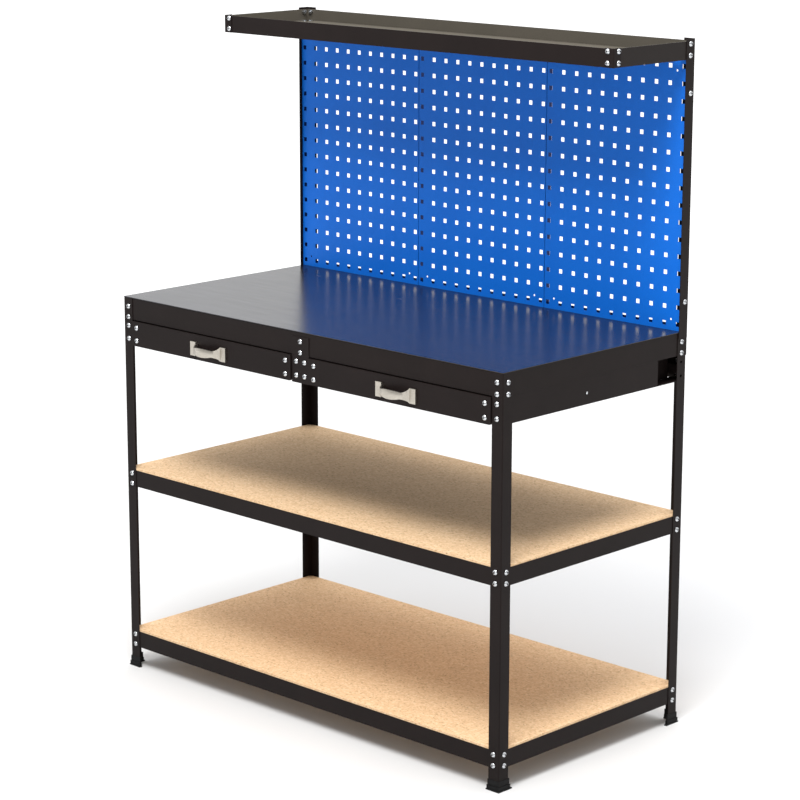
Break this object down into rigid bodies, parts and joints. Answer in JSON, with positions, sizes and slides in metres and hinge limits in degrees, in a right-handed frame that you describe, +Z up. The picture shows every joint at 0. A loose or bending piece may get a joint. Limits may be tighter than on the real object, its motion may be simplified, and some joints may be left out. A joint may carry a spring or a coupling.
{
  "type": "workbench",
  "caption": "Bolted steel workbench with shallow drawers under a sheet steel worktop, particle board shelves below, and a perforated tool panel with a tray shelf on top",
  "frame": {"origin": "on the floor, in the middle of the bench's outline", "axes": "+X to the right as seen from the drawers' side, +Y to the back, where the perforated panel stands, +Z up"},
  "size_m": [1.2152, 0.6447, 1.562],
  "materials": {
    "dark_steel": "black powder coat with a soft sheen",
    "worktop_steel": "glossy dark enamel",
    "blue_steel": "blue powder coat, satin",
    "zinc": "bright zinc plate",
    "satin_nickel": "satin nickel plate",
    "chipboard": "raw particle board",
    "foot_plastic": "matt black plastic"
  },
  "bodies": {
    "frame": {"foot_front_left": "foot_plastic", "foot_front_right": "foot_plastic", "foot_rear_left": "foot_plastic", "foot_rear_right": "foot_plastic", "leg_front_left": "dark_steel", "leg_front_right": "dark_steel", "leg_rear_left": "dark_steel", "leg_rear_right": "dark_steel", "upper_post_left": "dark_steel", "upper_post_right": "dark_steel", "worktop_panel": "worktop_steel", "worktop_beam_front": "dark_steel", "worktop_beam_rear": "dark_steel", "worktop_beam_left": "dark_steel", "worktop_beam_right": "dark_steel", "centre_plate": "dark_steel", "side_rail_left": "dark_steel", "side_rail_right": "dark_steel", "centre_rail_left": "dark_steel", "centre_rail_right": "dark_steel", "rear_rail": "dark_steel", "middle_shelf_board": "chipboard", "middle_beam_front": "dark_steel", "middle_beam_rear": "dark_steel", "middle_beam_left": "dark_steel", "middle_beam_right": "dark_steel", "lower_shelf_board": "chipboard", "lower_beam_front": "dark_steel", "lower_beam_rear": "dark_steel", "lower_beam_left": "dark_steel", "lower_beam_right": "dark_steel", "pegboard_left": "blue_steel", "pegboard_centre": "blue_steel", "pegboard_right": "blue_steel", "tray_panel": "dark_steel", "tray_beam_front": "dark_steel", "tray_beam_rear": "dark_steel", "tray_beam_left": "dark_steel", "tray_beam_right": "dark_steel", "tray_corner_left": "dark_steel", "tray_corner_right": "dark_steel", "worktop_bolts": "zinc", "shelf_bolts": "zinc", "upper_bolts": "zinc", "frame_nuts": "zinc", "drawer_stop_screws": "zinc"},
    "drawer_left": {"drawer_left_box": "dark_steel", "drawer_left_inner_front": "dark_steel", "drawer_left_back": "dark_steel", "drawer_left_front": "dark_steel", "drawer_left_handle": "satin_nickel", "drawer_left_bolts": "zinc", "drawer_left_nuts": "zinc"},
    "drawer_right": {"drawer_right_box": "dark_steel", "drawer_right_inner_front": "dark_steel", "drawer_right_back": "dark_steel", "drawer_right_front": "dark_steel", "drawer_right_handle": "satin_nickel", "drawer_right_bolts": "zinc", "drawer_right_nuts": "zinc"}
  },
  "joints": [
    {"name": "drawer_left_slide", "type": "slide", "parent": "frame", "child": "drawer_left", "axis": [0, -1, 0], "range_m": [0, 0.3155]},
    {"name": "drawer_right_slide", "type": "slide", "parent": "frame", "child": "drawer_right", "axis": [0, -1, 0], "range_m": [0, 0.3155]}
  ]
}
